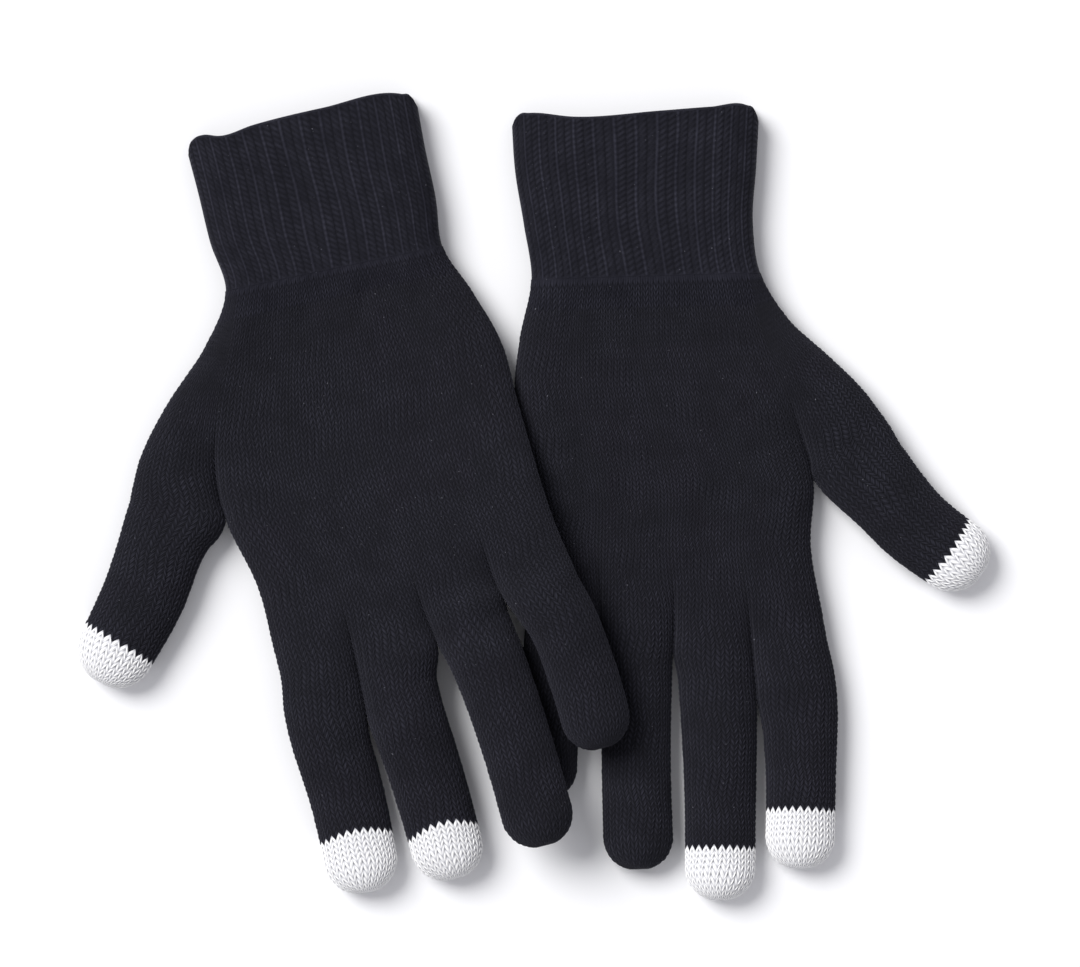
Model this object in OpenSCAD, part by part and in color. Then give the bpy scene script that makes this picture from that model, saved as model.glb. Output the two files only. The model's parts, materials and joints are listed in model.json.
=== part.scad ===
// A pair of knitted stretch gloves lying flat with their palms up, the right glove partly on the left one.
// +X to the right, +Y towards the cuffs, +Z up from the surface that the gloves lie on.

/* [Fabric] */
// Thickness of the knitted fabric
fabric = 1.6; // [1.3:0.1:1.8]
// Thickness of the hand, front to back
hand_thick = 12; // [11.6:0.1:12]
// Thickness of a finger, front to back
finger_thick = 11.5; // [11:0.1:11.5]
// Gap between two pieces that move on each other
joint_gap = 0.4; // [0.3:0.1:0.8]

/* [Cuffs] */
// Width of the cuff of the right glove
right_cuff_w = 68; // [64:0.5:69]
// Width of the cuff of the left glove
left_cuff_w = 70; // [66:0.5:71]
// Thickness of a cuff, front to back
cuff_thick = 11.4; // [11:0.1:11.4]
// Length of the turned hem at the mouth of the cuff
welt_l = 6; // [4:0.5:8]
// How far the hem stands proud of the cuff on each side
welt_proud = 0.3; // [0.1:0.1:0.3]
// Number of elastic threads laid into a cuff
elastic_count = 5; // [3:1:6]
// Thickness of an elastic thread
elastic_d = 0.8; // [0.6:0.1:0.8]

/* [Joints] */
// Bend at the root of a finger
root_bend = 80; // [60:5:85]
// Bend at the middle of a finger
middle_bend = 85; // [60:5:90]
// Bend at the root of a thumb
thumb_root_bend = 50; // [30:5:60]
// Bend at the middle of a thumb
thumb_middle_bend = 70; // [40:5:80]
// Bend of the cuff on the hand
wrist_bend = 60; // [30:5:70]

/* [Hidden] */
$fn = 24;
overlap = 1;        // how far a cutter runs past what it cuts
slice = 0.1;        // thickness of a slice that a hull starts from
reach = 120;        // size of a cutter that takes away all beyond a joint
root_past = 12;     // how far the root of a finger is drawn past the joint that cuts it off
groove_room = 0.1;  // room around an elastic thread

FINGERS = ["thumb", "index", "middle", "ring", "little"];
TOUCH = ["thumb", "index", "middle"];
HAND_PIECES = ["hand", "cuff", "cuff_welt", "elastic_threads"];

KNIT = "#26262e";
WELT = "#202027";
ELASTIC = "#101014";
CONDUCTIVE = "#e9e8e4";

// Rows across each hand from the cuff to the fingers: the outline's two edges
LEFT_ROWS = [
    [[-1, 74.2, 6], [66.7, 74.9, 6]],
    [[-0.1, 63.3, 6], [68.8, 63.9, 6]],
    [[-3.8, 52.1, 6], [77.7, 54.2, 6]],
    [[-5.1, 35.2, 6], [96.4, 36.6, 6]],
    [[-3.6, 14.4, 6], [104.2, 18.3, 6]],
    [[-1.9, -4.6, 6], [83.2, -2.8, 6]],
    [[-2.6, -38.1, 6], [86.1, -44, 6]]];
RIGHT_ROWS = [
    [[-94, 70, 6], [-28.6, 83.5, 6]],
    [[-92.5, 61, 6], [-27, 74.5, 6]],
    [[-98.6, 44, 6], [-15, 56, 6.5]],
    [[-111, 24, 6], [-6.8, 32, 10.6]],
    [[-118, 8, 6], [0.5, 10, 15.9]],
    [[-91, -10, 6], [7, -10, 18.9]],
    [[-78, -50, 6.6], [10, -17, 20]]];

// Each finger: width, width inside the hand, roll of the hand there, then the points along its middle line:
// inside the hand, joint at its root, joint at its middle, end of the tip; last, length of the touch tip
LEFT_FINGERS = [
    [22.5, 28, 0, [84.2, 22.2, 6], [97.5, 8.5, 6], [112, -5.5, 6], [135, -22.5, 5.9], 15],
    [21, 23, 0, [74.1, -31.9, 6], [79.5, -62, 6], [80.2, -83, 6], [79.7, -111.5, 5.9], 17],
    [21.5, 26, 0, [53.7, -34.3, 6], [55.3, -62, 6], [55.8, -86, 6], [55.7, -121, 5.9], 17],
    [20.8, 24, 0, [30.3, -30.9, 6], [31, -56, 6], [31, -82, 6], [31.8, -111.8, 5.9], 0],
    [19, 20, 0, [8.7, -28, 6], [6, -52, 5.9], [4, -70, 5.8], [3.3, -90.2, 5.8], 0]];
RIGHT_FINGERS = [
    [23, 24, 0, [-100, 17, 6.3], [-109, -10, 6], [-116, -28.5, 6], [-131.4, -55, 5.9], 15],
    [22.5, 23, -8, [-67, -41, 8.6], [-61.5, -69.5, 8.2], [-55.6, -89.7, 6.8], [-49.7, -118.5, 6], 17],
    [22.5, 26, -8, [-44.5, -37, 11.8], [-39.3, -60, 12], [-32, -83, 9], [-23.3, -114.5, 6.2], 17],
    [21.5, 25, -8, [-20, -28, 15.5], [-12.8, -52, 17.6], [-5, -76, 18.1], [1.4, -104.3, 17.6], 0],
    [20.5, 20, -8, [-2, -14, 17.8], [8.5, -37, 19.6], [15.3, -55, 19], [21, -75, 18.5], 0]];

// Each cuff: its hinge on the hand and the middle of its mouth
LEFT_CUFF = [[33.7, 66, 6], [30.8, 115.3, 6]];
RIGHT_CUFF = [[-59.8, 68.7, 6], [-68.5, 114.5, 6]];

function rows(side) = side == "left" ? LEFT_ROWS : RIGHT_ROWS;
function fingers(side) = side == "left" ? LEFT_FINGERS : RIGHT_FINGERS;
function cuff_line(side) = side == "left" ? LEFT_CUFF : RIGHT_CUFF;
function cuff_w(side) = side == "left" ? left_cuff_w : right_cuff_w;
function plan(p) = [p.x, p.y];
function turn(a, b) = atan2(b.x - a.x, a.y - b.y);
function slope(a, b) = atan2(b.z - a.z, norm(plan(b - a)));
function towards(a, b, d) = a + (b - a) * d / norm(b - a);

// A limb's own frame: it starts at point a and runs along -Y to point b
module aim(a, b) {
    translate(a) rotate([-slope(a, b), 0, turn(a, b)]) children();
}

// Cross-section of a tube that lies flat
module oval(width, thick) {
    square([width - thick, thick], center = true);
    for (end = [-1, 1])
        translate([end * (width - thick) / 2, 0]) circle(d = thick);
}

// A solid of that section along -Y
module bar(width, thick, start, stop) {
    translate([0, -start, 0]) rotate([90, 0, 0]) linear_extrude(stop - start) oval(width, thick);
}

// A ring of that section: a tube with a wall of the given thickness
module sleeve(width, thick, wall, start, stop) {
    difference() {
        bar(width, thick, start, stop);
        bar(width - 2 * wall, thick - 2 * wall, start - overlap, stop + overlap);
    }
}

// A finger that is straight and then rounds off to its end; in keeps back from the outer surface
module rounded(width, thick, start, stop, in = 0) {
    dome = width / 2 - in;
    end = stop - in;
    steps = [start, for (u = [0, 0.35, 0.62, 0.84, 0.97]) end - dome + u * dome];
    for (i = [0 : len(steps) - 2])
        hull()
            for (s = [steps[i], steps[i + 1]]) {
                u = max(0, (s - end + dome) / dome);
                round_off = sqrt(1 - u * u);
                t = (thick - 2 * in) * sqrt(round_off);
                bar(max(t + slice, (width - 2 * in) * round_off), t, s, s + slice);
            }
}

// All that lies beyond a joint (side = 1) or before it (side = -1), with room to bend on the palm side
module beyond(joint, angle, bend, side) {
    translate(joint) rotate([0, 0, angle]) scale([1, side, 1])
        rotate([90, 0, 90]) linear_extrude(reach, center = true)
            polygon([[-reach, -reach], [joint_gap / 2, -reach], [joint_gap / 2, 0],
                [joint_gap / 2 + reach * tan(bend / 2 + 1), reach], [-reach, reach]]);
}

// One row across the hand: a ball at each edge of its outline
module row(edges, in) {
    r = hand_thick / 2;
    for (p = [towards(edges[0], edges[1], r), towards(edges[1], edges[0], r)])
        translate(p) sphere(r = r - in);
}

module palm(side, in = 0) {
    list = rows(side);
    for (i = [0 : len(list) - 2])
        hull() {
            row(list[i], in);
            row(list[i + 1], in);
        }
}

// The root of a finger: it tapers out of the hand past the finger's joint
module root(f, in = 0) {
    length = norm(f[4] - f[3]);
    end_w = f[0] + (f[0] - f[1]) * root_past / length;
    thick = finger_thick - 2 * in;
    aim(f[3], f[4])
        hull() {
            rotate([0, f[2], 0]) bar(f[1] - 2 * in, thick, 0, slice);
            bar(end_w - 2 * in, thick, length + root_past - slice, length + root_past);
        }
}

module hand(side) {
    cuff = cuff_line(side);
    color(KNIT)
        difference() {
            union() {
                palm(side);
                for (i = [0 : len(FINGERS) - 1]) {
                    f = fingers(side)[i];
                    difference() {
                        root(f);
                        beyond(f[4], turn(f[4], f[5]), root_range(i), 1);
                    }
                }
            }
            palm(side, fabric);
            for (f = fingers(side))
                root(f, fabric);
            beyond(cuff[0], turn(cuff[0], cuff[1]), wrist_bend, 1);
        }
}

function root_range(i) = i == 0 ? thumb_root_bend : root_bend;
function middle_range(i) = i == 0 ? thumb_middle_bend : middle_bend;

// The stretch of a finger between its two joints
module finger_base(side, i) {
    f = fingers(side)[i];
    length = norm(f[5] - f[4]);
    color(KNIT)
        difference() {
            aim(f[4], f[5]) sleeve(f[0], finger_thick, fabric, -finger_thick, length + finger_thick);
            beyond(f[4], turn(f[4], f[5]), root_range(i), -1);
            beyond(f[5], turn(f[5], f[6]), middle_range(i), 1);
        }
}

// The stretch past the middle joint: open where a touch tip follows, rounded off where none does
module finger_end(side, i) {
    f = fingers(side)[i];
    length = norm(f[6] - f[5]);
    color(KNIT)
        difference() {
            aim(f[5], f[6])
                if (f[7] > 0)
                    sleeve(f[0], finger_thick, fabric, -finger_thick, length - f[7]);
                else
                    difference() {
                        rounded(f[0], finger_thick, -finger_thick, length);
                        rounded(f[0], finger_thick, -finger_thick - overlap, length, fabric);
                    }
            beyond(f[5], turn(f[5], f[6]), middle_range(i), -1);
        }
}

// The cap of conductive yarn on a fingertip
module touch_tip(side, i) {
    f = fingers(side)[i];
    length = norm(f[6] - f[5]);
    color(CONDUCTIVE)
        aim(f[5], f[6])
            difference() {
                rounded(f[0], finger_thick, length - f[7], length);
                rounded(f[0], finger_thick, length - f[7] - overlap, length, fabric);
            }
}

function elastic_at(side, i) =
    let (length = norm(cuff_line(side)[1] - cuff_line(side)[0]) - welt_l)
    length * (i + 1) / (elastic_count + 1);

// Ring channels in the inner face of the cuff, or the threads that lie in them
module elastic_rings(side, room) {
    inner_w = cuff_w(side) - 2 * fabric;
    inner_t = cuff_thick - 2 * fabric;
    for (i = [0 : elastic_count - 1])
        difference() {
            bar(inner_w + 2 * (elastic_d + room), inner_t + 2 * (elastic_d + room),
                elastic_at(side, i) - elastic_d / 2 - room, elastic_at(side, i) + elastic_d / 2 + room);
            bar(inner_w - room, inner_t - room,
                elastic_at(side, i) - elastic_d, elastic_at(side, i) + elastic_d);
        }
}

module cuff(side) {
    line = cuff_line(side);
    length = norm(line[1] - line[0]);
    color(KNIT)
        difference() {
            aim(line[0], line[1])
                difference() {
                    sleeve(cuff_w(side), cuff_thick, fabric, -cuff_thick, length - welt_l);
                    elastic_rings(side, groove_room);
                }
            beyond(line[0], turn(line[0], line[1]), wrist_bend, -1);
        }
}

module cuff_welt(side) {
    line = cuff_line(side);
    length = norm(line[1] - line[0]);
    color(WELT)
        aim(line[0], line[1])
            sleeve(cuff_w(side) + 2 * welt_proud, cuff_thick + 2 * welt_proud, fabric + 2 * welt_proud,
                length - welt_l, length);
}

module elastic_threads(side) {
    line = cuff_line(side);
    color(ELASTIC)
        aim(line[0], line[1])
            elastic_rings(side, 0);
}

for (side = ["left", "right"]) {
    hand(side);
    cuff(side);
    cuff_welt(side);
    elastic_threads(side);
    for (i = [0 : len(FINGERS) - 1]) {
        finger_base(side, i);
        finger_end(side, i);
        if (fingers(side)[i][7] > 0)
            touch_tip(side, i);
    }
}
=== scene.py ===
import json
import math
from functools import partial
import bmesh
import bpy
import numpy as np
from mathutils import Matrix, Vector

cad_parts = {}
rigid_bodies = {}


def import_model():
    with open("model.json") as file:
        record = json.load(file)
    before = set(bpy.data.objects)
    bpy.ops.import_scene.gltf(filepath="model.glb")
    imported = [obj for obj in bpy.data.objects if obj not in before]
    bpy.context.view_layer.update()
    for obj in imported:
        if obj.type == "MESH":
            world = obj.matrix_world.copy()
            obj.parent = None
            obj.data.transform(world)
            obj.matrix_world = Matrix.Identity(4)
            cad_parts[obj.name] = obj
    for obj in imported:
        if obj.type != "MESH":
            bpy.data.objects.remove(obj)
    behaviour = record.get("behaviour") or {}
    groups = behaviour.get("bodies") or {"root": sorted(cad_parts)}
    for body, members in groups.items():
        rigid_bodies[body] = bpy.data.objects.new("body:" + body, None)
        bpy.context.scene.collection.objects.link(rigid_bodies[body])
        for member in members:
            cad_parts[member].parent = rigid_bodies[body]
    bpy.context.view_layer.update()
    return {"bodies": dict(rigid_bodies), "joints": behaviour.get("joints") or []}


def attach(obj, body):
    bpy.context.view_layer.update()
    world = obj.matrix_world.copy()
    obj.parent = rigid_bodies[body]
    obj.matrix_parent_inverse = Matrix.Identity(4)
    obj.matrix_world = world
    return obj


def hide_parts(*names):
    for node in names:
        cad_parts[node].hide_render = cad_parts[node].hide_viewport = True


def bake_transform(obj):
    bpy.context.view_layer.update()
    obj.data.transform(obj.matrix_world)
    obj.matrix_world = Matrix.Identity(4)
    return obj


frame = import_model()
scene = bpy.context.scene
mm = 0.001
jointPlace = {joint["name"]: [1000 * c for c in joint["pos_m"]]
              for joint in frame["joints"] if "pos_m" in joint}

# A pair of machine-knitted stretch gloves, palms up, fingers towards -Y, the right one partly on the left.
# Lengths in the dictionaries are millimetres. Along a glove, 0 is where the cuff ends and the hand starts.

cameraValues = {"fieldWidth": 324, "centreX": 1.95, "centreY": 3.9, "planeZ": 6, "distance": 2200}


def makeCamera():
    lens = bpy.data.cameras.new("lookingDown")
    lens.angle = 2 * math.atan(cameraValues["fieldWidth"] / 2 / cameraValues["distance"])
    lens.clip_start = 0.05
    lens.clip_end = 20
    camera = bpy.data.objects.new("lookingDown", lens)
    height = cameraValues["planeZ"] + cameraValues["distance"]
    camera.location = Vector((cameraValues["centreX"], cameraValues["centreY"], height)) * mm
    scene.collection.objects.link(camera)
    scene.camera = camera


makeCamera()
print("camera done")

rowPlaces = [0, 17, 34, 51, 68, 88, 108]        # rows across the hand, counted along it

# thumbOuter, indexOuter and ulnar are the edges of the hand at those rows, and cuffThumbSide and
# cuffUlnarSide those of the cuff, at cuffPlaces. Fingers part at splits, a gap shows from openings on, and
# crotches lie there. A finger has its half widths, thumb side and little side, at root, middle joint and tip,
# then its tip, the length of its pale cap, how far its rows of stitches arch, and its root or middle where it
# has no joint there.
gloves = {
    "right": {
        "acrossSign": 1,
        "thumbOuter": [(-92.3, 61.5, 6), (-98.6, 44.5, 6), (-109.5, 28, 6), (-117.5, 12.5, 6),
                       (-121, -1, 6)],
        "indexOuter": [(-88.5, 62.3, 6), (-91, 45.5, 6), (-94.5, 27.5, 6), (-95.5, 9, 6), (-92.3, -7, 6),
                       (-82.8, -27, 6.1), (-77.6, -47, 6.6)],
        "ulnar": [(-27.3, 75, 6), (-18.5, 61.5, 6.2), (-9.6, 46, 8), (-4.7, 28, 11.2), (0.5, 10, 15.9),
                  (5.6, -6, 18.4), (12, -21, 20)],
        "cuffPlaces": [-45, -30, -15],
        "cuffThumbSide": [(-104.4, 105.4, 6), (-100.6, 91, 6), (-97, 76.2, 6)],
        "cuffUlnarSide": [(-35.2, 119.4, 6), (-32.5, 104.5, 6), (-29.3, 89.5, 6)],
        "mouthWave": [(-1, -3.4), (-0.975, -1.2), (-0.92, 0.5), (-0.84, 1), (-0.7, -0.3), (-0.4, 0.9),
                      (0.2, 1.8), (0.9, 1.2), (0.965, 0.3), (1, -2.6)],
        "creases": [((-49, 69), (-53, 50), 0.7), ((-66, 62), (-71, 48), 0.35), ((-36, 70), (-33, 52), 0.35)],
        "splits": [62, 123, 120, 111],          # thumb and index first, ring and little last
        "openings": [70, 138, 123, 113],
        "crotches": [(-49.1, -69.8, 9.2), (-26.9, -47.9, 14.8), (-8.6, -30.4, 18.6)],
        "fingers": {
            "thumb": {"halves": [(13.6, 12), (12.9, 12), (10.4, 11.6)],
                      "tip": (-131, -55.2, 5.9), "touch": 14, "bow": 0.4},
            "index": {"halves": [(11.9, 11.3), (11.5, 10.8), (10.9, 10.5)],
                      "tip": (-49.7, -118.6, 6), "touch": 19.2, "bow": 2.4},
            "middle": {"halves": [(11.5, 11.2), (11.2, 10.8), (10.6, 10.5)],
                       "tip": (-23.3, -114.5, 6.2), "touch": 18.6, "bow": 3.2},
            "ring": {"halves": [(10.6, 11.2), (9.9, 11.2), (9.4, 11.9)],
                     "tip": (2.4, -104.4, 17.6), "touch": 0, "bow": 2},
            "little": {"halves": [(10.4, 10.4), (10.3, 10.3), (10, 10)],
                       "tip": (20.8, -75, 18.5), "touch": 0, "bow": 2},
        },
    },
    "left": {
        "acrossSign": -1,
        "thumbOuter": [(68, 67, 6), (76.5, 53, 6), (88, 42.5, 6), (98.6, 32.2, 6), (107, 21, 6)],
        "indexOuter": [(64.5, 66.9, 6), (68.5, 50, 6), (75, 33.5, 6), (80.3, 18, 6), (84, 4.6, 6),
                       (83.2, -15, 6), (86.8, -36, 6)],
        "ulnar": [(-0.6, 65, 6), (-3.9, 48, 6), (-5.7, 31, 6), (-4.2, 15, 6), (-2, -1, 6),
                  (-1.8, -16, 6), (-2.4, -34, 6)],
        "cuffPlaces": [-48.5, -32, -16],
        "cuffThumbSide": [(67.7, 115, 6), (66.8, 98.6, 6), (65.8, 82.7, 6)],
        "cuffUlnarSide": [(-6.6, 113.2, 6), (-5.5, 97.3, 6), (-2.9, 81.5, 6)],
        "mouthWave": [(-1, -2.6), (-0.965, 0.4), (-0.9, 1.6), (-0.6, 1.3), (-0.2, 0.5), (0.5, -0.7),
                      (0.86, 0.8), (0.94, 0.6), (0.98, -0.8), (1, -2.4)],
        "creases": [((30, 62), (34, 44), 0.6), ((50, 62), (56, 47), 0.4), ((12, 60), (10, 46), 0.35)],
        "splits": [60, 123, 119, 114],
        "openings": [68, 138, 123, 117],
        "crotches": [(67.3, -65.5, 6), (41.6, -50.3, 6), (20, -43, 6)],
        "fingers": {
            "thumb": {"halves": [(14.3, 11.4), (11.4, 12.4), (9.8, 12)],
                      "tip": (135, -22.5, 5.9), "touch": 13.4, "bow": -0.8},
            "index": {"halves": [(11.6, 11.3), (10.4, 10.4), (10.4, 10.2)],
                      "tip": (79.7, -111.5, 5.9), "touch": 18.6, "bow": 0.8},
            "middle": {"halves": [(11.5, 11.3), (10.9, 10.5), (10.5, 10.1)],
                       "tip": (55.7, -121, 5.9), "touch": 17.2, "bow": 0.5},
            "ring": {"halves": [(10.4, 10.6), (10.1, 10.4), (10.4, 10.6)],
                     "tip": (31.8, -111.8, 5.9), "touch": 0, "bow": 1, "root": (31, -56, 6)},
            "little": {"halves": [(9.5, 9.5), (9.5, 9.5), (9.4, 9.4)],
                       "tip": (3.3, -90.2, 5.8), "touch": 0, "bow": 1, "root": (6, -52, 5.9),
                       "middle": (4, -70, 5.8)},
        },
    },
}

fabric = {
    "halfFront": 5.3,           # from the middle of a glove up to the fabric of the palm
    "halfBack": 5.8,            # and down to the fabric of the back
    "slack": 0.2,               # how much lower the hand lies than the cuff
    "slackFrom": 14,            # reached this far below the cuff
    "edgeRound": 13,            # how far in from its edge the hand is rounded
    "fingerRound": 12,          # and a finger
    "squareFront": 2.2,         # 2 is a round edge, and more is a squarer one: on the palm
    "squareBack": 3.2,          # and on the back
    "squareFinger": 2,          # and on a finger
    "valley": 26,               # how far up the hand the valleys between the fingers start
    "sideShare": 0.55,          # how much of a finger's fabric is bunched at its sides
    "cuffSideShare": 0.35,      # and of the cuff's
    "outerLine": {0: (60, 76), 1: (110, 128), 5: (106, 122)},   # where rails give way to a finger's own edge
    "gapStart": 6,              # two fingers leave their rail this far before their opening
    "gapEnd": 5,                # and are apart this far past it
    "slit": 0.12,               # half of the slit between two fingers that touch
    "slitRun": 5,               # and the length over which it opens
    "rootRun": 12,              # shortest length over which a finger takes its own width
    "domeRatio": 0.47,          # length of a fingertip's dome to its width
    "domeFabric": 1.2,          # length of fabric over a dome to its length
    "domeDraw": 0.965,          # how far the dome's end is drawn together
    "domeHeight": 0.75,         # less is a blunter dome
    "bowRun": 6,                # half the length over which the rows start to arch
    "thumbBeyond": 20,          # the hand is that much wider than its part beside the thumb
    "thumbFrom": 40,            # from here on
    "rootReach": 7,             # half the length of fabric that bends at a finger's root
    "middleReach": 8,           # and at its middle joint
    "wristReach": 8.4,          # and at the wrist
    "floorGap": 0.1,            # the fabric is flat where it lies this far above the floor
}

stitch = {
    "wales": 11,                # stitches side by side across one face of a finger
    "course": 1.7,              # length of one stitch along the hand
    "legSlope": 1.15,           # how far a leg runs along the hand, in courses
    "relief": 0.42,             # how far a leg stands out of the fabric
    "fullPitch": 2.2,           # stitches narrower than this are also flatter
    "uneven": 0.3,              # how much less a slack stitch stands out than a tight one
    "sway": 0.2,                # how far a row of stitches wanders, in stitches
    "holeLength": 0.2,          # size of the hole where two rows meet, in stitches, painted in as shade
    "holeWidth": 0.25,
    "jerseyCourses": 5,         # courses of the hand that bend with the cuff
    "cuffShade": 0.84,          # evens out the cuff's paler yarn in those courses
    "flatRelief": 0.5,          # height where rib and plain knit meet, and the tone there, which paints the flat band with the average shade of the stitches beside it
    "flatShade": 0.3,
    "flatRun": 0.6,             # over this many courses
    "tipRun": 5,                # courses over which stitches grow flat at the end of a finger
    "tipFlatness": 0.6,
    "tipLevel": 3,              # the last courses there, which are level instead of slanting
}


def smoothstep(low, high, x):
    t = np.clip((x - low) / (high - low), 0, 1)
    return t * t * (3 - 2 * t)


def curveAt(curve, x):
    # a smooth curve through the points at the keys, straight on past its ends
    keys, points = curve
    gaps = np.diff(keys)
    chords = np.diff(points, axis=0) / gaps[:, None]
    slopes = np.empty_like(points)
    slopes[0], slopes[-1] = chords[0], chords[-1]
    weight = (gaps[1:] / (gaps[1:] + gaps[:-1]))[:, None]
    slopes[1:-1] = weight * chords[:-1] + (1 - weight) * chords[1:]
    flat = np.ravel(x)
    i = np.clip(np.searchsorted(keys, flat) - 1, 0, len(gaps) - 1)
    t = (flat - keys[i]) / gaps[i]
    s = np.clip(t, 0, 1)[:, None]
    past = ((t - s[:, 0]) * gaps[i])[:, None]
    fromSlope, toSlope = slopes[i] * gaps[i][:, None], slopes[i + 1] * gaps[i][:, None]
    place = (2 * s ** 3 - 3 * s ** 2 + 1) * points[i] + (3 * s ** 2 - 2 * s ** 3) * points[i + 1]
    place += (s ** 3 - 2 * s ** 2 + s) * fromSlope + (s ** 3 - s ** 2) * toSlope
    place += past * np.where(past > 0, slopes[-1], slopes[0])
    return place.reshape(np.shape(x) + (points.shape[1],))


def curveOf(keys, points):
    return np.array(keys, float), np.array(points, float).reshape(len(keys), -1)


def fitGlove(side, glove):
    # rails along the hand from the thumb's outer edge to the little finger's, and a centre line for each
    index, ulnar = np.array(glove["indexOuter"], float), np.array(glove["ulnar"], float)
    rails = [curveOf(glove["cuffPlaces"] + rowPlaces[:5], glove["cuffThumbSide"] + glove["thumbOuter"]),
             curveOf(rowPlaces, index)]
    for i, crotch in enumerate(glove["crotches"]):
        quarter = index + (ulnar - index) * (i + 1) / 4
        rails.append(curveOf(rowPlaces + [glove["openings"][i + 1]], list(quarter) + [crotch]))
    rails.append(curveOf(glove["cuffPlaces"] + rowPlaces, glove["cuffUlnarSide"] + glove["ulnar"]))
    glove["rails"] = rails
    for k, (name, finger) in enumerate(glove["fingers"].items()):
        start = rowPlaces[2:5] if name == "thumb" else rowPlaces[4:]
        middles = [(curveAt(rails[k], v) + curveAt(rails[k + 1], v)) / 2 for v in start]
        half = np.linalg.norm((curveAt(rails[k + 1], start[-1]) - curveAt(rails[k], start[-1]))[:2]) / 2
        root = np.array(finger.get("root") or jointPlace[f"{side}_{name}_root_bend"], float)
        middle = np.array(finger.get("middle") or jointPlace[f"{side}_{name}_middle_bend"], float)
        tip = np.array(finger["tip"], float)
        atRoot = start[-1] + np.linalg.norm(root - middles[-1])
        atMiddle = atRoot + np.linalg.norm(middle - root)
        atTip = atMiddle + np.linalg.norm(tip - middle)
        finger["centre"] = curveOf(start + [atRoot, atMiddle, atTip], middles + [root, middle, tip])
        halves = [(half, half)] + finger["halves"]
        ownWidth = max(atRoot, start[-1] + fabric["rootRun"])
        finger["half"] = curveOf([start[-1], ownWidth, atMiddle, atTip], halves)
        finger["dome"] = fabric["domeRatio"] * sum(finger["halves"][2])
        finger["domeStart"] = atTip - finger["dome"]
        course = stitch["course"]
        finger["lastCourse"] = round((finger["domeStart"] + fabric["domeFabric"] * finger["dome"]) / course)
        finger["rootCourse"] = math.floor((atRoot - fabric["rootReach"]) / course - 1)
        finger["middleCourse"] = math.floor((atMiddle - fabric["middleReach"]) / course - 1)
        finger["touchCourse"] = round((atTip - finger["touch"]) / course) if finger["touch"] else None
        finger["atMiddle"] = atMiddle
        finger["rootPoint"], finger["middlePoint"], finger["tipPoint"] = root, middle, tip


def valley(glove, rail, v):
    # 0 where the hand is one tube, 1 where the tubes of two fingers have parted at this rail
    if rail in (0, 5):
        return np.ones_like(v)
    split = glove["splits"][rail - 1]
    return smoothstep(split - fabric["valley"], split, v)


def fingerEdge(glove, k, v, end):
    # one edge of a finger's strip of fabric: on the hand's rail, then on the finger's own line
    finger = list(glove["fingers"].values())[k]
    rail = k + (end > 0)
    centre = curveAt(finger["centre"], v)
    ahead = curveAt(finger["centre"], v + 0.5) - curveAt(finger["centre"], v - 0.5)
    across = np.stack([-ahead[..., 1], ahead[..., 0], np.zeros_like(v)], -1) * glove["acrossSign"]
    across /= np.linalg.norm(across, axis=-1, keepdims=True)
    halves = curveAt(finger["half"], v)
    half = halves[..., :1] if end < 0 else halves[..., 1:]
    own = centre + across * end * half
    onRail = curveAt(glove["rails"][rail], v)
    outerLine = fabric["outerLine"].get(rail) if rail in (0, 5, k) else None
    if outerLine:
        away = smoothstep(*outerLine, v)
    elif rail == 1:
        away = smoothstep(glove["splits"][0], glove["openings"][0] + fabric["gapEnd"], v)
    else:
        opening = glove["openings"][rail - 1]
        away = smoothstep(opening - fabric["gapStart"], opening + fabric["gapEnd"], v)
    if 0 < rail < 5:
        split = glove["splits"][rail - 1]
        slit = fabric["slit"] * smoothstep(split, split + fabric["slitRun"], v)
        onRail = onRail - across * end * slit[..., None]
    return onRail + (own - onRail) * away[..., None]


def rounding(distance, reach, power):
    left = 1 - np.clip(distance / reach, 0, 1)
    return (1 - left ** power) ** (1 / power)


slackness = {"ripple": 0.16, "rippleAcross": 5.3, "rippleAlong": 7.9, "swell": 0.12, "swellLength": 13,
             "creaseWidth": 2.6}


def unevenness(glove, place):
    # soft creases below the cuff, and the slight waves of a glove that nobody wears
    x, y = place[..., 0], place[..., 1]
    ripple = np.sin(x / slackness["rippleAcross"] + 0.6 * np.sin(y / 11))
    ripple = ripple * np.sin(y / slackness["rippleAlong"] + 1.3)
    swell = np.sin((x + 1.7 * y) / slackness["swellLength"])
    dip = slackness["ripple"] * ripple + slackness["swell"] * swell
    for start, stop, depth in glove["creases"]:
        start, stop = np.array(start, float), np.array(stop, float)
        line = stop - start
        t = np.clip(((x - start[0]) * line[0] + (y - start[1]) * line[1]) / (line @ line), 0, 1)
        far = np.hypot(x - start[0] - t * line[0], y - start[1] - t * line[1])
        width = slackness["creaseWidth"]
        dip = dip - depth * np.exp(-(far / width) ** 2) * np.sin(np.pi * np.clip(t, 0.04, 0.96))
    return dip


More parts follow.
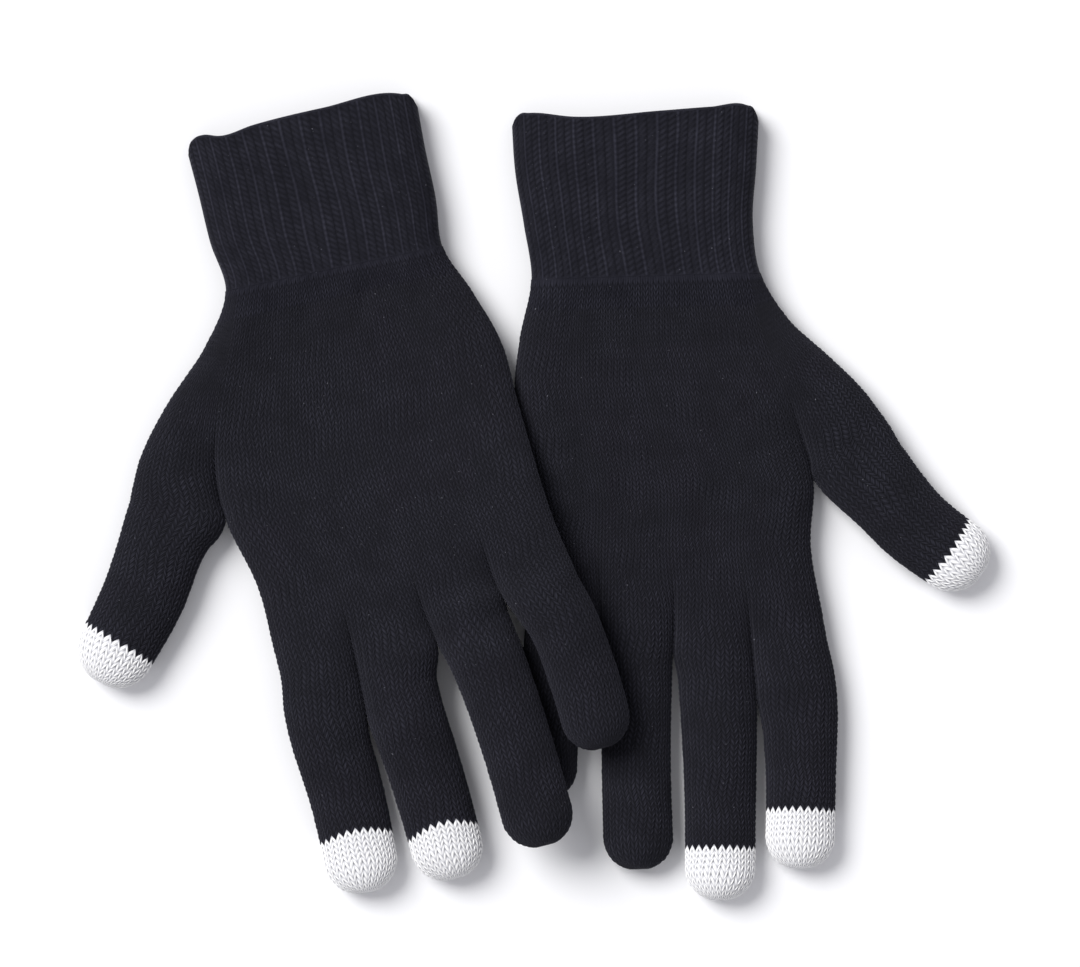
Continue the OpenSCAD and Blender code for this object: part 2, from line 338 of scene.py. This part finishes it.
def strip(glove, k, u, v, face):
    # the smooth fabric of thumb or finger k and of the hand behind it: u across it, v along it
    finger = list(glove["fingers"].values())[k]
    domeLength = finger["lastCourse"] * stitch["course"] - finger["domeStart"]
    lastV = finger["domeStart"] + domeLength
    openLeft, openRight = valley(glove, k, v), valley(glove, k + 1, v)
    bunch = openLeft + (openRight - openLeft) * smoothstep(0, 1, u)
    bunch = fabric["sideShare"] * bunch
    a = (2 * u - 1) * (1 - bunch) - np.cos(np.pi * u) * bunch

    # rows arch between the finger's middle and its tip, where they close into a dome
    bowStart, bowEnd = finger["atMiddle"] - fabric["bowRun"], finger["atMiddle"] + fabric["bowRun"]
    bow = finger["bow"] * smoothstep(bowStart, bowEnd, v)
    bow = bow * (1 - smoothstep(finger["domeStart"] - 2, lastV, v))
    v = v + bow * a * a
    angle = np.clip((v - finger["domeStart"]) / domeLength, 0, 1) * np.pi / 2
    along = np.where(v > finger["domeStart"], finger["domeStart"] + finger["dome"] * np.sin(angle), v)
    left, right = fingerEdge(glove, k, along, -1), fingerEdge(glove, k, along, 1)
    narrow = np.sqrt(1 - (fabric["domeDraw"] * np.sin(angle)) ** 2)
    place = (left + right) / 2 + (right - left) / 2 * (a * narrow)[..., None]

    # the tube's height above its edges, square on the hand and round on a finger
    width = np.linalg.norm((right - left)[..., :2], axis=-1)
    if k < 2:
        parted = openRight
    elif k == 4:
        parted = openLeft
    else:
        parted = np.maximum(openLeft, openRight)
    onFinger = np.minimum(width / 2, fabric["fingerRound"])
    reach = fabric["edgeRound"] + (onFinger - fabric["edgeRound"]) * parted
    power = fabric["squareFront"] if face > 0 else fabric["squareBack"]
    power = power + (fabric["squareFinger"] - power) * parted * (1 if face > 0 else 0.5)
    high = 1 - openLeft * (1 - rounding((1 + a) / 2 * width, reach, power))
    high = high * (1 - openRight * (1 - rounding((1 - a) / 2 * width, reach, power)))
    if k == 1:      # the edge of the hand lies beyond the thumb's strip
        thumb = curveAt(glove["rails"][1], v) - curveAt(glove["rails"][0], v)
        thumbWidth = np.linalg.norm(thumb[..., :2], axis=-1)
        beyond = fabric["thumbBeyond"] * smoothstep(fabric["thumbFrom"], glove["splits"][0], v)
        thumbWidth = thumbWidth + beyond
        high = high * rounding(thumbWidth + (1 + a) / 2 * width, reach, power)
    high = high * np.clip(np.cos(angle), 0, 1) ** fabric["domeHeight"]
    if face > 0:
        begun = smoothstep(0, fabric["slackFrom"], v)
        place[..., 2] += (fabric["halfFront"] + (unevenness(glove, place) - fabric["slack"]) * begun) * high
    else:
        place[..., 2] -= fabric["halfBack"] * high
    return place


def cuffSheet(glove, u, v, face):
    # the smooth fabric of the cuff: v runs from 0 to -1 at the mouth
    length = -glove["cuffPlaces"][0]
    bunch = fabric["cuffSideShare"]
    a = (2 * u - 1) * (1 - bunch) - np.cos(np.pi * u) * bunch
    keys, heights = zip(*glove["mouthWave"])
    wave = curveAt(curveOf(keys, heights), a)[..., 0]
    along = v * length - wave * np.abs(v) ** 3
    left, right = curveAt(glove["rails"][0], along), curveAt(glove["rails"][5], along)
    place = (left + right) / 2 + (right - left) / 2 * a[..., None]
    width = np.linalg.norm((right - left)[..., :2], axis=-1)
    power = fabric["squareFront"] if face > 0 else fabric["squareBack"]
    reach = fabric["edgeRound"]
    high = rounding((1 + a) / 2 * width, reach, power) * rounding((1 - a) / 2 * width, reach, power)
    place[..., 2] += face * (fabric["halfFront"] if face > 0 else fabric["halfBack"]) * high
    return place


def outward(surface, u, v, face, step):
    # the normal of the fabric, pointing out of the glove, and how much of it one unit of u is
    before, after = np.clip(u - 0.002, 0, 1), np.clip(u + 0.002, 0, 1)
    du = surface(after, v, face) - surface(before, v, face)
    dv = surface(u, v + step, face) - surface(u, v - step, face)
    normal = np.cross(du, dv)
    normal *= np.sign(normal[..., 2:] * face + 1e-12)
    normal[..., 2] = np.where((u < 1e-6) | (u > 1 - 1e-6), 0, normal[..., 2])
    normal /= np.linalg.norm(normal, axis=-1, keepdims=True) + 1e-9
    return normal, np.linalg.norm(du, axis=-1) / (after - before)


def addSheet(work, columns, rows, shape):
    # one sheet of fabric: a grid from the operator, whose place, relief, mask of painted hole shade and
    # stitch counts come from shape; the stored relief also sets the painted shade between the legs
    grid = bmesh.new()
    bmesh.ops.create_grid(grid, x_segments=columns, y_segments=rows, size=0.5)
    mesh = bpy.data.meshes.new("sheet")
    grid.to_mesh(mesh)
    grid.free()
    co = np.empty(len(mesh.vertices) * 3)
    mesh.vertices.foreach_get("co", co)
    u = np.round((co[0::3] + 0.5) * columns) / columns
    t = np.round((co[1::3] + 0.5) * rows) / rows
    place, relief, holeShadeMask, wale, course = shape(u, t)
    place[..., 2] = np.maximum(place[..., 2], fabric["floorGap"])
    mesh.vertices.foreach_set("co", (place * mm).ravel())
    for name, values in (("relief", relief), ("holeShadeMask", holeShadeMask), ("wale", wale), ("courses", course)):
        attribute = mesh.attributes.new(name, "FLOAT", "POINT")
        attribute.data.foreach_set("value", np.asarray(values, np.float32))
    work.from_mesh(mesh)
    bpy.data.meshes.remove(mesh)


def chance(column, row):
    # a value from 0 to 1 that belongs to one stitch
    value = np.sin(column * 12.9898 + row * 78.233) * 43758.5453
    return value - np.floor(value)


def stitchRelief(w, p):
    # w counts stitches across, p counts courses along the leg: two rounded legs for each stitch, and where
    # painted shade marks the holes between them
    x = np.clip(np.abs(2 * (w - np.floor(w + 1e-6)) - 1), 0, 1)
    f = p - np.floor(p + 1e-6)
    tightness = 1 - stitch["uneven"] * chance(np.floor(2 * w + 1e-6), np.floor(p + 1e-6))
    leg = np.sqrt(np.clip(1 - (2 * f - 1) ** 2, 0, 1)) * np.sin(np.pi * x) ** 0.5 * tightness
    near = np.minimum(f, 1 - f)
    inStitch = np.exp(-(x / stitch["holeWidth"]) ** 2)
    between = np.exp(-((1 - x) / stitch["holeWidth"]) ** 2)
    holeShadeMask = np.exp(-(near / stitch["holeLength"]) ** 2) * np.maximum(inStitch, 0.7 * between)
    return leg, holeShadeMask


def knitStrip(work, glove, k, first, last, face, perWale, perCourse, flatStart=False, flatEnd=False):
    # plain knit over one strip, from one course to another
    def shape(u, t):
        p = first + t * (last - first)
        w = u * stitch["wales"]
        x = np.abs(2 * (w - np.floor(w + 1e-6)) - 1)
        slope = stitch["legSlope"] * np.ones_like(p)
        if flatStart:
            slope = slope * smoothstep(first, first + 1, p)
        if flatEnd:
            slope = slope * (1 - smoothstep(last - stitch["tipLevel"], last, p))
        v = (p + slope * x) * stitch["course"]
        wander = np.sin(0.37 * p + 2 * k) + 0.6 * np.sin(0.83 * p + 5 * u + k)
        u = u + stitch["sway"] * wander * np.sin(np.pi * u) / stitch["wales"]
        surface = partial(strip, glove, k)
        place = surface(u, v, face)
        normal, pitch = outward(surface, u, v, face, 0.2)
        leg, holeShadeMask = stitchRelief(w, p)
        room = np.clip(pitch / stitch["wales"] / stitch["fullPitch"], 0.1, 1)
        begun = smoothstep(first, first + stitch["flatRun"], p)
        # on the flat band the legs level out and the painted shade in the holes fades away
        if flatStart:
            leg = stitch["flatRelief"] + (leg - stitch["flatRelief"]) * begun
            holeShadeMask = holeShadeMask * begun
        if flatEnd:
            room = room * (1 - stitch["tipFlatness"] * smoothstep(last - stitch["tipRun"], last, p))
        place = place + normal * (stitch["relief"] * leg * room)[..., None]
        # the stored tone sets the painted shade between the legs: the flat band gets as much as the shaded
        # stitches beside it have on average, and the cuff's yarn a little more
        if flatStart:
            leg = stitch["flatShade"] + (stitch["cuffShade"] * leg - stitch["flatShade"]) * begun
        return place, leg, holeShadeMask, w, p

    addSheet(work, stitch["wales"] * perWale, round((last - first) * perCourse), shape)


ribValues = {
    "ribs": 14,
    "columns": 18,              # mesh columns in a rib
    "line": 0.1,                # half of the room for a line, in ribs
    "lineWidth": 0.075,
    "slant": 1.2,               # how far a leg runs along the cuff, in courses
    "offset": 0.45,             # how far one column of legs is ahead of the other
    "uneven": 0.45,
    "relief": 0.4,
    "fullPitch": 4.6,           # ribs narrower than this are also flatter
    "seam": 0.15,               # flat along the glove's edge, in ribs
    "fade": 0.015,              # flat next to the hand, as a share of the cuff
    "legHeight": 0.75,          # height of the legs, where a line has 1, and their tone, which leaves more painted shade on the legs than on a line
    "legShade": 0.6,
    "sway": 0.05,
}


def ribSheet(work, glove, start, stop, face, rows):
    # 2-and-1 rib: two columns of slanting legs, then one narrow line that stands up
    length = -glove["cuffPlaces"][0]
    ribs = ribValues["ribs"]

    def shape(u, t):
        v = start + (stop - start) * t
        rib = u * ribs
        f = rib - np.floor(rib + 1e-6)
        courses = -v * length / stitch["course"]
        swayed = u + ribValues["sway"] / ribs * np.sin(courses * 0.29 + 9 * u) * np.sin(np.pi * u)
        surface = partial(cuffSheet, glove)
        place = surface(swayed, v, face)
        normal, pitch = outward(surface, swayed, v, face, 0.004)

        # two columns of legs in the room between two lines
        column = np.clip((f - ribValues["line"]) / (1 - 2 * ribValues["line"]), 0, 1) * 2
        g = column - np.floor(column)
        phase = courses + ribValues["slant"] * g + ribValues["offset"] * np.floor(column)
        h = phase - np.floor(phase)
        tightness = 1 - ribValues["uneven"] * chance(np.floor(rib) * 3 + np.floor(column), np.floor(phase))
        leg = np.sqrt(np.clip(1 - (2 * h - 1) ** 2, 0, 1)) * np.sin(np.pi * g) ** 0.5 * tightness
        toLine = np.minimum(f, 1 - f)
        line = np.exp(-(toLine / ribValues["lineWidth"]) ** 2) * (0.85 + 0.15 * np.sin(2 * np.pi * courses))

        # flat where the rib meets the plain knit, and along the edges of the glove
        fade = smoothstep(0, -ribValues["fade"], v)
        toEdge = np.minimum(u, 1 - u) * ribs
        flat, shade = stitch["flatRelief"], stitch["flatShade"]
        raised = flat + (np.maximum(ribValues["legHeight"] * leg, line) - flat) * fade
        raised = raised * (1 - np.exp(-(toEdge / ribValues["seam"]) ** 2))
        room = np.clip(pitch / ribs / ribValues["fullPitch"], 0.1, 1)
        place = place + normal * (ribValues["relief"] * raised * room)[..., None]
        # the tone sets the painted shade between the legs: more on the slanting legs than on the raised
        # lines, and an even painted shade on the flat band
        tone = shade + (np.clip(np.maximum(ribValues["legShade"] * leg, line), 0, 1) - shade) * fade
        # painted shade in the holes between rows, none on the lines
        near = np.minimum(h, 1 - h)
        holeShadeMask = np.exp(-(near / stitch["holeLength"]) ** 2) * (1 - line) * 0.6 * fade
        return place, tone, holeShadeMask, rib * 3, courses

    addSheet(work, ribs * ribValues["columns"], rows, shape)


hemValues = {
    "welt": 6,                  # length of the cuff that belongs to the hem
    "deep": 0.8,                # how far the lining runs back, as a share of the cuff
    "roll": 0.2,                # share of the lining that is in the roll
    "radius": 0.8,
    "stitches": (42, 30),       # across the lining and along it
    "mesh": (84, 40),
}


def hemLining(work, glove, face):
    # the fabric rolls over at the mouth and runs back inside the cuff
    def shape(u, t):
        roll = np.clip(t / hemValues["roll"], 0, 1) * np.pi
        back = np.clip((t - hemValues["roll"]) / (1 - hemValues["roll"]), 0, 1)
        v = -1 + back * hemValues["deep"]
        surface = partial(cuffSheet, glove)
        place = surface(u, v, face)
        normal = outward(surface, u, v, face, 0.004)[0]
        mouth = curveAt(glove["rails"][0], glove["cuffPlaces"][0]) - curveAt(glove["rails"][0], 0)
        mouth = mouth / np.linalg.norm(mouth)
        place = place - normal * (hemValues["radius"] * (1 - np.cos(roll)))[..., None]
        place = place + mouth * (hemValues["radius"] * np.sin(roll))[..., None]
        across, along = hemValues["stitches"]
        # an even tone half way to the painted shade between the legs, and no painted shade in holes
        return place, 0.5 + 0 * u, 0 * u, u * across, t * along

    addSheet(work, *hemValues["mesh"], shape)


def finishPiece(work, name, material, nodes):
    bmesh.ops.remove_doubles(work, verts=work.verts, dist=0.008 * mm)
    bmesh.ops.recalc_face_normals(work, faces=work.faces)
    mesh = bpy.data.meshes.new(name)
    work.to_mesh(mesh)
    work.free()
    mesh.shade_smooth()
    piece = bpy.data.objects.new(name, mesh)
    scene.collection.objects.link(piece)
    mesh.materials.append(material)
    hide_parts(*nodes)
    return piece


def linear(hexColour):
    channels = [int(hexColour[i:i + 2], 16) / 255 for i in (1, 3, 5)]
    return [c / 12.92 if c <= 0.04045 else ((c + 0.055) / 1.055) ** 2.4 for c in channels] + [1]


def addNode(tree, kind, settings=None, links=None):
    node = tree.nodes.new(kind)
    for key, value in (settings or {}).items():
        if isinstance(key, str) and hasattr(node, key):
            setattr(node, key, value)
        else:
            node.inputs[key].default_value = value
    for key, source in (links or {}).items():
        tree.links.new(source, node.inputs[key])
    return node


yarnValues = {
    "darkPatch": 0.32,          # the noise goes from the yarn's own colour here
    "palePatch": 0.68,          # to its worn colour here
    "speckStart": 0.77,         # and from no speck here
    "speckFull": 0.84,          # to a whole one here
    "speckColour": "#8c8c96",
    "bumpDepth": 0.09,
    "sheenRoughness": 0.5,
}


def storedValue(tree, name):
    return addNode(tree, "ShaderNodeAttribute", {"attribute_name": name}).outputs["Fac"]


def yarnMaterial(name, values):
    material = bpy.data.materials.new(name)
    material.use_nodes = True
    tree = material.node_tree
    shader = tree.nodes["Principled BSDF"]
    place = addNode(tree, "ShaderNodeTexCoord").outputs["Object"]
    relief, holeShadeMask = storedValue(tree, "relief"), storedValue(tree, "holeShadeMask")
    courses, wale = storedValue(tree, "courses"), storedValue(tree, "wale")

    # yarn that is lighter in one patch than in the next, with painted shade between the legs and darker
    # painted shade in the holes
    patches = addNode(tree, "ShaderNodeTexNoise", {"Scale": 1 / (values["patch"] * mm), "Detail": 3.0},
                      {"Vector": place}).outputs["Fac"]

    # each leg has a shade of its own
    legCount = addNode(tree, "ShaderNodeMath", {"operation": "MULTIPLY", 1: 2.0}, {0: wale}).outputs[0]
    legNumber = addNode(tree, "ShaderNodeMath", {"operation": "FLOOR"}, {0: legCount}).outputs[0]
    rowNumber = addNode(tree, "ShaderNodeMath", {"operation": "FLOOR"}, {0: courses}).outputs[0]
    cell = addNode(tree, "ShaderNodeCombineXYZ", {}, {0: legNumber, 1: rowNumber}).outputs[0]
    own = addNode(tree, "ShaderNodeTexWhiteNoise", {"noise_dimensions": "2D"},
                  {"Vector": cell}).outputs["Value"]
    patchRange = {"From Min": yarnValues["darkPatch"], "From Max": yarnValues["palePatch"]}
    shade = addNode(tree, "ShaderNodeMapRange", patchRange, {"Value": patches}).outputs[0]
    shade = addNode(tree, "ShaderNodeMix", {"data_type": "FLOAT", 0: values["legVariation"]},
                    {2: shade, 3: own}).outputs[0]
    shades = {"data_type": "RGBA", 6: linear(values["yarn"]), 7: linear(values["worn"])}
    yarn = addNode(tree, "ShaderNodeMix", shades, {0: shade}).outputs[2]
    # painted shade between the legs, where the stored relief is low
    height = addNode(tree, "ShaderNodeMapRange", {"From Max": values["gapShadeUpTo"]},
                     {"Value": relief}).outputs[0]
    legsAndGapShade = addNode(tree, "ShaderNodeMix", {"data_type": "RGBA", 6: linear(values["gapShade"])},
                   {0: height, 7: yarn}).outputs[2]
    # darker painted shade in the holes where two rows meet
    holeShadeAmount = addNode(tree, "ShaderNodeMath", {"operation": "MULTIPLY", 1: values["holeShadeAmount"]},
                    {0: holeShadeMask}).outputs[0]
    colour = addNode(tree, "ShaderNodeMix", {"data_type": "RGBA", 7: linear(values["holeShade"])},
                     {0: holeShadeAmount, 6: legsAndGapShade}).outputs[2]

    # a few pale fibres caught in the fabric
    specks = addNode(tree, "ShaderNodeTexNoise", {"Scale": 1 / (values["speck"] * mm), "Detail": 1.0},
                     {"Vector": place}).outputs["Fac"]
    speckRange = {"From Min": yarnValues["speckStart"], "From Max": yarnValues["speckFull"],
                  "To Max": values["specks"]}
    specks = addNode(tree, "ShaderNodeMapRange", speckRange, {"Value": specks}).outputs[0]
    colour = addNode(tree, "ShaderNodeMix", {"data_type": "RGBA", 7: linear(yarnValues["speckColour"])},
                     {0: specks, 6: colour}).outputs[2]
    tree.links.new(colour, shader.inputs["Base Color"])

    # two plies twisted together along each leg, and loose fibres over them
    twist = addNode(tree, "ShaderNodeMath", {"operation": "MULTIPLY", 1: values["twist"]},
                    {0: wale}).outputs[0]
    plies = addNode(tree, "ShaderNodeMath", {"operation": "MULTIPLY_ADD", 1: 2 * values["plies"] * math.pi},
                    {0: courses, 2: twist}).outputs[0]
    wave = addNode(tree, "ShaderNodeMath", {"operation": "SINE"}, {0: plies}).outputs[0]
    fibres = addNode(tree, "ShaderNodeTexNoise", {"Scale": 1 / (values["fibre"] * mm), "Detail": 2.0},
                     {"Vector": place}).outputs["Fac"]
    both = addNode(tree, "ShaderNodeMath", {"operation": "MULTIPLY_ADD", 1: values["fibreHeight"]},
                   {0: fibres, 2: wave}).outputs[0]
    depth = yarnValues["bumpDepth"] * mm
    bump = addNode(tree, "ShaderNodeBump", {"Strength": values["bump"], "Distance": depth}, {"Height": both})
    tree.links.new(bump.outputs[0], shader.inputs["Normal"])
    shader.inputs["Roughness"].default_value = values["roughness"]
    shader.inputs["Specular IOR Level"].default_value = values["specular"]
    shader.inputs["Sheen Weight"].default_value = values["sheen"]
    shader.inputs["Sheen Roughness"].default_value = yarnValues["sheenRoughness"]
    shader.inputs["Sheen Tint"].default_value = linear(values["sheenTint"])
    return material


# acrylic yarn, dyed black and knitted plain: matt, with a cool grey bloom of fibre on the legs, and painted
# shade between the legs and in the holes
blackAcrylic = yarnMaterial("blackAcrylicKnit", {
    "yarn": "#17171f", "worn": "#292933", "gapShade": "#0a0a13", "holeShade": "#050509",
    "holeShadeAmount": 0.75, "gapShadeUpTo": 0.85, "patch": 9, "legVariation": 0.3, "speck": 0.9, "specks": 0.4,
    "plies": 2, "twist": 5, "fibre": 0.35, "fibreHeight": 0.8, "bump": 0.8,
    "roughness": 0.9, "specular": 0.25, "sheen": 0.08, "sheenTint": "#b4b4c8"})

# the same yarn in 2-and-1 rib, drawn in by elastic, with the same painted shade between the legs and in the
# holes
ribbedAcrylic = yarnMaterial("ribbedAcrylicKnit", {
    "yarn": "#1b1b25", "worn": "#30303b", "gapShade": "#0a0a13", "holeShade": "#050509",
    "holeShadeAmount": 0.8, "gapShadeUpTo": 0.95, "patch": 7, "legVariation": 0.3, "speck": 0.9, "specks": 0.4,
    "plies": 1, "twist": 3, "fibre": 0.35, "fibreHeight": 0.9, "bump": 0.7,
    "roughness": 0.92, "specular": 0.22, "sheen": 0.08, "sheenTint": "#b4b4c8"})

# silver-coated nylon spun with white acrylic: near white and a little silky, with painted grey shade between
# the legs and dark painted shade in the holes
conductiveYarn = yarnMaterial("conductiveWhiteKnit", {
    "yarn": "#fbfaf8", "worn": "#ffffff", "gapShade": "#d6d6dc", "holeShade": "#2a2a31",
    "holeShadeAmount": 0.9, "gapShadeUpTo": 0.6, "patch": 2, "legVariation": 0.5, "speck": 0.9, "specks": 0.0,
    "plies": 2, "twist": 5, "fibre": 0.4, "fibreHeight": 0.8, "bump": 0.45,
    "roughness": 0.65, "specular": 0.4, "sheen": 0.35, "sheenTint": "#ffffff"})


def makeElasticMaterial():
    # rubber thread covered with polyester: dark and dull
    material = bpy.data.materials.new("coveredElasticThread")
    material.use_nodes = True
    shader = material.node_tree.nodes["Principled BSDF"]
    shader.inputs["Base Color"].default_value = linear("#141418")
    shader.inputs["Roughness"].default_value = 0.75
    return material


elasticThread = makeElasticMaterial()
print("yarns done")

meshValues = {
    "handPalm": (6, 3),         # mesh columns in a stitch, and rows in a course
    "handBack": (3, 3),
    "finger": (6, 3),
    "touchTip": (8, 4),
    "cuffRows": 96,
    "weltRows": 16,
    "thread": 160,              # points round a thread
}


def makeHand(side, glove):
    work = bmesh.new()
    for k, finger in enumerate(glove["fingers"].values()):
        for face, fineness in ((1, meshValues["handPalm"]), (-1, meshValues["handBack"])):
            knitStrip(work, glove, k, stitch["jerseyCourses"], finger["rootCourse"], face, *fineness)
    hand = finishPiece(work, f"{side}_knitted_hand", blackAcrylic, [f"{side}_hand"])
    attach(hand, f"{side}_glove")


def makeCuff(side, glove):
    rails, mouthPlace = glove["rails"], glove["cuffPlaces"][0]
    mouth = (curveAt(rails[0], mouthPlace) + curveAt(rails[5], mouthPlace)) / 2
    welt = 1 - hemValues["welt"] / -mouthPlace
    work = bmesh.new()
    for face, fineness in ((1, meshValues["handPalm"]), (-1, meshValues["handBack"])):
        for k in range(5):
            knitStrip(work, glove, k, 0, stitch["jerseyCourses"], face, *fineness, flatStart=True)
        ribSheet(work, glove, 0, -welt, face, meshValues["cuffRows"])
    cuff = finishPiece(work, f"{side}_ribbed_cuff", ribbedAcrylic, [f"{side}_cuff"])
    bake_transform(cuff)

    work = bmesh.new()
    for face in (1, -1):
        ribSheet(work, glove, -welt, -1, face, meshValues["weltRows"])
        hemLining(work, glove, face)
    hem = finishPiece(work, f"{side}_turned_hem", ribbedAcrylic, [f"{side}_cuff_welt"])
    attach(hem, f"{side}_wrist")


threadValues = {"count": 5, "thick": 0.5, "inside": 0.75, "spread": 0.86}


def makeElasticThreads(side, glove):
    work = bmesh.new()
    points = meshValues["thread"]
    half = points // 2
    surface = partial(cuffSheet, glove)
    for i in range(threadValues["count"]):
        v = np.full(half, -(i + 1) / (threadValues["count"] + 1) * threadValues["spread"])
        curve = bpy.data.curves.new("thread", "CURVE")
        curve.dimensions = "3D"
        curve.bevel_depth = threadValues["thick"] / 2 * mm
        curve.bevel_resolution = 1
        ring = curve.splines.new("POLY")
        ring.points.add(points - 1)
        ring.use_cyclic_u = True
        for face, first in ((1, 0), (-1, half)):
            u = (np.arange(half) + 0.5) / half
            u = u if face > 0 else u[::-1]
            normal = outward(surface, u, v, face, 0.004)[0]
            place = (surface(u, v, face) - normal * threadValues["inside"]) * mm
            for j in range(half):
                ring.points[first + j].co = (*place[j], 1)
        holder = bpy.data.objects.new("thread", curve)
        mesh = bpy.data.meshes.new_from_object(holder)
        work.from_mesh(mesh)
        bpy.data.objects.remove(holder)
        bpy.data.curves.remove(curve)
        bpy.data.meshes.remove(mesh)
    threads = finishPiece(work, f"{side}_elastic_rings", elasticThread,
                          [f"{side}_elastic_threads"])
    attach(threads, f"{side}_wrist")


def makeFingerPart(side, glove, k, name, part, first, last, fineness, material, slot, node):
    work = bmesh.new()
    atEnd = last == glove["fingers"][name]["lastCourse"]
    for face in (1, -1):
        knitStrip(work, glove, k, first, last, face, *fineness, flatEnd=atEnd)
    return finishPiece(work, f"{side}_{name}_{part}", material, [f"{side}_{name}_{node}"])


def makeFinger(side, glove, k, name, finger):
    palm = f"{side}_glove"
    rootBody = f"{side}_{name}_root" if f"{side}_{name}_root" in frame["bodies"] else palm
    tipBody = f"{side}_{name}_tip" if f"{side}_{name}_tip" in frame["bodies"] else rootBody
    stops = [finger["rootCourse"], finger["middleCourse"], finger["touchCourse"] or finger["lastCourse"]]
    base = makeFingerPart(side, glove, k, name, "lower", *stops[:2], meshValues["finger"],
                          blackAcrylic, "black_knit", "base")
    if rootBody == palm:
        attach(base, palm)
    else:
        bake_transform(base)
    end = makeFingerPart(side, glove, k, name, "upper", *stops[1:], meshValues["finger"],
                         blackAcrylic, "black_knit", "end")
    if tipBody == rootBody:
        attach(end, palm)
    else:
        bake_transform(end)
    if finger["touch"]:
        cap = makeFingerPart(side, glove, k, name, "touch_cap", stops[2], finger["lastCourse"],
                             meshValues["touchTip"], conductiveYarn, "conductive_knit", "touch_tip")
        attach(cap, tipBody)


for side, glove in gloves.items():
    fitGlove(side, glove)
    makeHand(side, glove)
    makeCuff(side, glove)
    makeElasticThreads(side, glove)
    for k, (name, finger) in enumerate(glove["fingers"].items()):
        makeFinger(side, glove, k, name, finger)
    print(side, "glove done")

stageValues = {"floor": "#f6f6f7", "floorHalf": 4}
lightValues = {"sky": "#f9f9ff", "skyStrength": 0.5, "from": (-1, 0.8, 1.25), "strength": 3.2,
               "softness": 38}      # degrees that the softbox takes up


def makeFloor():
    work = bmesh.new()
    bmesh.ops.create_grid(work, x_segments=1, y_segments=1, size=stageValues["floorHalf"])
    mesh = bpy.data.meshes.new("floor")
    work.to_mesh(mesh)
    work.free()
    floor = bpy.data.objects.new("floor", mesh)
    scene.collection.objects.link(floor)
    # matt white paper sweep
    material = bpy.data.materials.new("whitePaper")
    material.use_nodes = True
    shader = material.node_tree.nodes["Principled BSDF"]
    shader.inputs["Base Color"].default_value = linear(stageValues["floor"])
    shader.inputs["Roughness"].default_value = 0.95
    mesh.materials.append(material)
    return floor


def makeLight():
    # a large softbox far off to the upper left
    data = bpy.data.lights.new("softbox", "SUN")
    data.energy = lightValues["strength"]
    data.angle = math.radians(lightValues["softness"])
    lamp = bpy.data.objects.new("softbox", data)
    lamp.location = lightValues["from"]
    lamp.rotation_euler = (-Vector(lightValues["from"])).to_track_quat("-Z", "Y").to_euler()
    scene.collection.objects.link(lamp)
    return lamp


def makeSky():
    sky = bpy.data.worlds.new("studio")
    sky.use_nodes = True
    background = sky.node_tree.nodes["Background"]
    background.inputs["Color"].default_value = linear(lightValues["sky"])
    background.inputs["Strength"].default_value = lightValues["skyStrength"]
    scene.world = sky


makeFloor()
makeLight()
makeSky()
scene.view_settings.view_transform = "Standard"
print("stage done")
